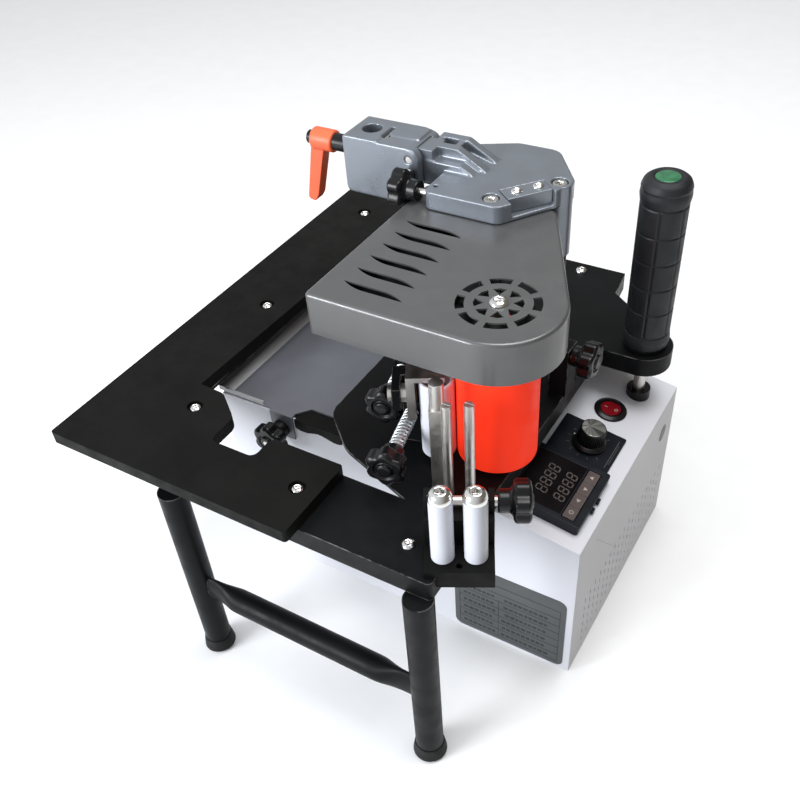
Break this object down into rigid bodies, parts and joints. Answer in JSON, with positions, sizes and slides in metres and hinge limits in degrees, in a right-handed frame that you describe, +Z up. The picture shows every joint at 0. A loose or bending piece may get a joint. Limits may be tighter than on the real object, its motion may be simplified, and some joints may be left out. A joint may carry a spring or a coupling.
{
  "type": "edge banding machine",
  "caption": "Bench edge bander: black work table, powered upright feed roller, pinch and guide rollers, glue tray, grey head cover, handle and sloping control console.",
  "frame": {"origin": "on the bench, under the centre of the machine's bounding box", "axes": "+Z up; +X along the front edge towards the feed roller and console; +Y from the operator's front edge to the back"},
  "size_m": [0.387, 0.4384, 0.372],
  "materials": {
    "black_satin": "satin black coating",
    "black_paint": "powder coat",
    "black_rubber": "matte",
    "white_enamel": "gloss enamel",
    "label_grey": "printed film",
    "tray_grey": "satin",
    "bare_aluminium": "as machined",
    "brushed_steel": "turned",
    "silicone_red": "smooth silicone",
    "chrome": "bright",
    "motor_black": "matte",
    "nylon_white": "turned nylon",
    "black_plastic": "fine texture",
    "cover_grey": "satin grey paint",
    "cast_grey": "hammered grey paint on casting",
    "lever_orange": "orange powder coat",
    "grip_rubber": "moulded blocks",
    "controller_black": "semi gloss",
    "key_brown": "membrane",
    "rocker_red": "gloss"
  },
  "bodies": {
    "frame": {"work_board": "black_satin", "base_plate": "black_paint", "leg_stand": "black_paint", "leg_caps": "black_rubber", "chassis_shell": "white_enamel", "chassis_bottom": "white_enamel", "rating_label": "label_grey", "glue_pot": "bare_aluminium", "heater_rods": "brushed_steel", "standoffs": "brushed_steel", "neck_bearing": "chrome", "roller_axle": "brushed_steel", "gear_motor": "motor_black", "guide_blocks": "black_paint", "adjuster_springs": "chrome", "knob_studs": "brushed_steel", "infeed_bracket": "black_satin", "guide_roller_bolts": "chrome", "guide_pins": "brushed_steel", "glue_post": "brushed_steel", "head_cover": "cover_grey", "head_screws": "chrome", "head_bracket": "cast_grey", "head_pillars": "black_paint", "handle_stud": "brushed_steel", "handle_collars": "black_plastic", "handle_grip": "grip_rubber", "handle_cap": "grip_rubber", "temperature_controller": "controller_black", "speed_panel": "controller_black", "rocker_bezel": "black_plastic", "power_supply": "brushed_steel", "mains_inlet": "black_plastic", "button_screws": "chrome"},
    "feed_roller": {"feed_roller_sleeve": "silicone_red", "feed_roller_core": "bare_aluminium", "feed_gear": "brushed_steel"},
    "drive_pinion": {"motor_pinion": "brushed_steel"},
    "pinch_slide": {"pinch_carriage": "brushed_steel", "pinch_axle": "brushed_steel"},
    "pinch_wheel": {"pinch_roller": "nylon_white"},
    "left_guide": {"left_guide_roller": "nylon_white"},
    "right_guide": {"right_guide_roller": "nylon_white"},
    "front_adjuster": {"front_adjuster_knob": "black_plastic"},
    "rear_adjuster": {"rear_adjuster_knob": "black_plastic"},
    "tray_clamp": {"tray_knob": "black_plastic"},
    "infeed_clamp": {"infeed_knob": "black_plastic"},
    "side_clamp": {"side_knob": "black_plastic"},
    "head_clamp": {"rear_knob": "black_plastic"},
    "reel_clamp": {"clamp_block": "cast_grey", "pivot_pin": "brushed_steel", "lever_insert": "black_plastic"},
    "clamp_lever": {"ratchet_lever": "lever_orange"},
    "tray_cover": {"tray_lid": "tray_grey"},
    "power_switch": {"power_rocker": "rocker_red"},
    "speed_dial": {"speed_knob": "black_plastic"},
    "set_key": {"key_set": "key_brown"},
    "shift_key": {"key_shift": "key_brown"},
    "down_key": {"key_down": "key_brown"},
    "up_key": {"key_up": "key_brown"}
  },
  "joints": [
    {"name": "feed_roller_spin", "type": "hinge", "parent": "frame", "child": "feed_roller", "pos_m": [0.1175, -0.07225, 0.25], "axis": [0, 0, 1], "continuous": true},
    {"name": "drive_pinion_spin", "type": "hinge", "parent": "frame", "child": "drive_pinion", "pos_m": [0.10061, -0.0625, 0.193], "axis": [0, 0, 1], "continuous": true},
    {"name": "pinch_travel", "type": "slide", "parent": "frame", "child": "pinch_slide", "axis": [-0.8747, -0.4846, 0], "range_m": [0, 0.003], "stiffness_N_per_m": 1500, "springref_m": -0.004},
    {"name": "pinch_roller_spin", "type": "hinge", "parent": "pinch_slide", "child": "pinch_wheel", "pos_m": [0.0805, -0.09275, 0.25], "axis": [0, 0, 1], "continuous": true},
    {"name": "left_guide_spin", "type": "hinge", "parent": "frame", "child": "left_guide", "pos_m": [0.13284, -0.1823, 0.24], "axis": [0, 0, 1], "continuous": true},
    {"name": "right_guide_spin", "type": "hinge", "parent": "frame", "child": "right_guide", "pos_m": [0.15216, -0.1722, 0.24], "axis": [0, 0, 1], "continuous": true},
    {"name": "front_adjuster_turn", "type": "hinge", "parent": "frame", "child": "front_adjuster", "pos_m": [0.0615, -0.11025, 0.238], "axis": [0.2198, -0.9755, 0], "range_deg": [-360, 360]},
    {"name": "rear_adjuster_turn", "type": "hinge", "parent": "frame", "child": "rear_adjuster", "pos_m": [0.0275, -0.06225, 0.238], "axis": [0.2198, -0.9755, 0], "range_deg": [-360, 360]},
    {"name": "tray_knob_turn", "type": "hinge", "parent": "frame", "child": "tray_clamp", "pos_m": [-0.073, -0.10325, 0.171], "axis": [0, -1, 0], "range_deg": [-360, 360]},
    {"name": "infeed_knob_turn", "type": "hinge", "parent": "frame", "child": "infeed_clamp", "pos_m": [0.13231, -0.15775, 0.244], "axis": [0.8862, 0.4633, 0], "range_deg": [-360, 360]},
    {"name": "side_knob_turn", "type": "hinge", "parent": "frame", "child": "side_clamp", "pos_m": [0.1465, 0.01375, 0.246], "axis": [1, 0, 0], "range_deg": [-360, 360]},
    {"name": "rear_knob_turn", "type": "hinge", "parent": "frame", "child": "head_clamp", "pos_m": [-0.0035, 0.02225, 0.349], "axis": [-1, 0, 0], "range_deg": [-360, 360]},
    {"name": "reel_clamp_fold", "type": "hinge", "parent": "frame", "child": "reel_clamp", "pos_m": [-0.0145, 0.05775, 0.362], "axis": [0, 1, 0], "range_deg": [0, 90]},
    {"name": "clamp_lever_turn", "type": "hinge", "parent": "reel_clamp", "child": "clamp_lever", "pos_m": [-0.1055, 0.05875, 0.354], "axis": [1, 0, 0], "continuous": true},
    {"name": "tray_cover_lift", "type": "slide", "parent": "frame", "child": "tray_cover", "axis": [0, 0, 1], "range_m": [0, 0.012]},
    {"name": "power_switch_rock", "type": "hinge", "parent": "frame", "child": "power_switch", "pos_m": [0.15559, 0.06575, 0.15804], "axis": [0, 1, 0], "range_deg": [-8, 8]},
    {"name": "speed_dial_turn", "type": "hinge", "parent": "frame", "child": "speed_dial", "pos_m": [0.15686, 0.01775, 0.16543], "axis": [0.1699, 0, 0.9855], "range_deg": [-135, 135]},
    {"name": "set_key_press", "type": "slide", "parent": "frame", "child": "set_key", "axis": [-0.1699, 0, -0.9855], "range_m": [0, 0.0006], "stiffness_N_per_m": 300, "springref_m": -0.0004},
    {"name": "shift_key_press", "type": "slide", "parent": "frame", "child": "shift_key", "axis": [-0.1699, 0, -0.9855], "range_m": [0, 0.0006], "stiffness_N_per_m": 300, "springref_m": -0.0004},
    {"name": "down_key_press", "type": "slide", "parent": "frame", "child": "down_key", "axis": [-0.1699, 0, -0.9855], "range_m": [0, 0.0006], "stiffness_N_per_m": 300, "springref_m": -0.0004},
    {"name": "up_key_press", "type": "slide", "parent": "frame", "child": "up_key", "axis": [-0.1699, 0, -0.9855], "range_m": [0, 0.0006], "stiffness_N_per_m": 300, "springref_m": -0.0004}
  ],
  "couplings": [
    {"joint": "drive_pinion_spin", "follows": "feed_roller_spin", "ratio": -2}
  ]
}
